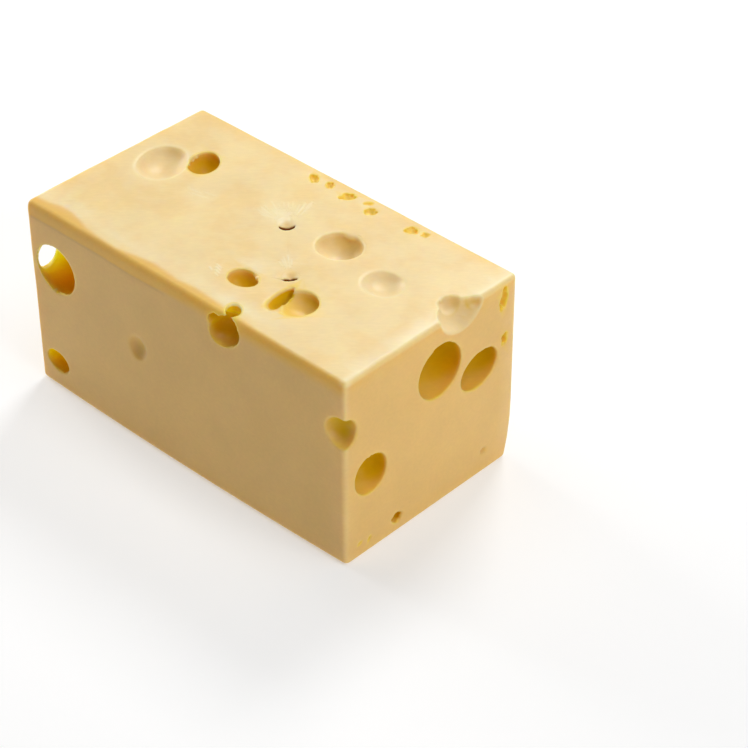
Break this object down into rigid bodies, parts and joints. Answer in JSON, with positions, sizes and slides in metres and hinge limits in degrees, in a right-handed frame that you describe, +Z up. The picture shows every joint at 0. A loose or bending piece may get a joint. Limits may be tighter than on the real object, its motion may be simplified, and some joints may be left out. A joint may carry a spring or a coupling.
{
  "type": "block of holed cheese",
  "caption": "Rectangular rindless block of pale yellow semi-hard cheese with round eyes, open bowls, puckers and small torn holes, lying on its base.",
  "frame": {"origin": "on the base, under the middle of the block's bounding box", "axes": "+Z up, +X along the length towards the fresh cut end, -Y towards the long front side"},
  "size_m": [0.1801, 0.0999, 0.0906],
  "materials": {
    "cheese": null
  },
  "bodies": {
    "root": {"cheese_block": "cheese"}
  },
  "joints": []
}
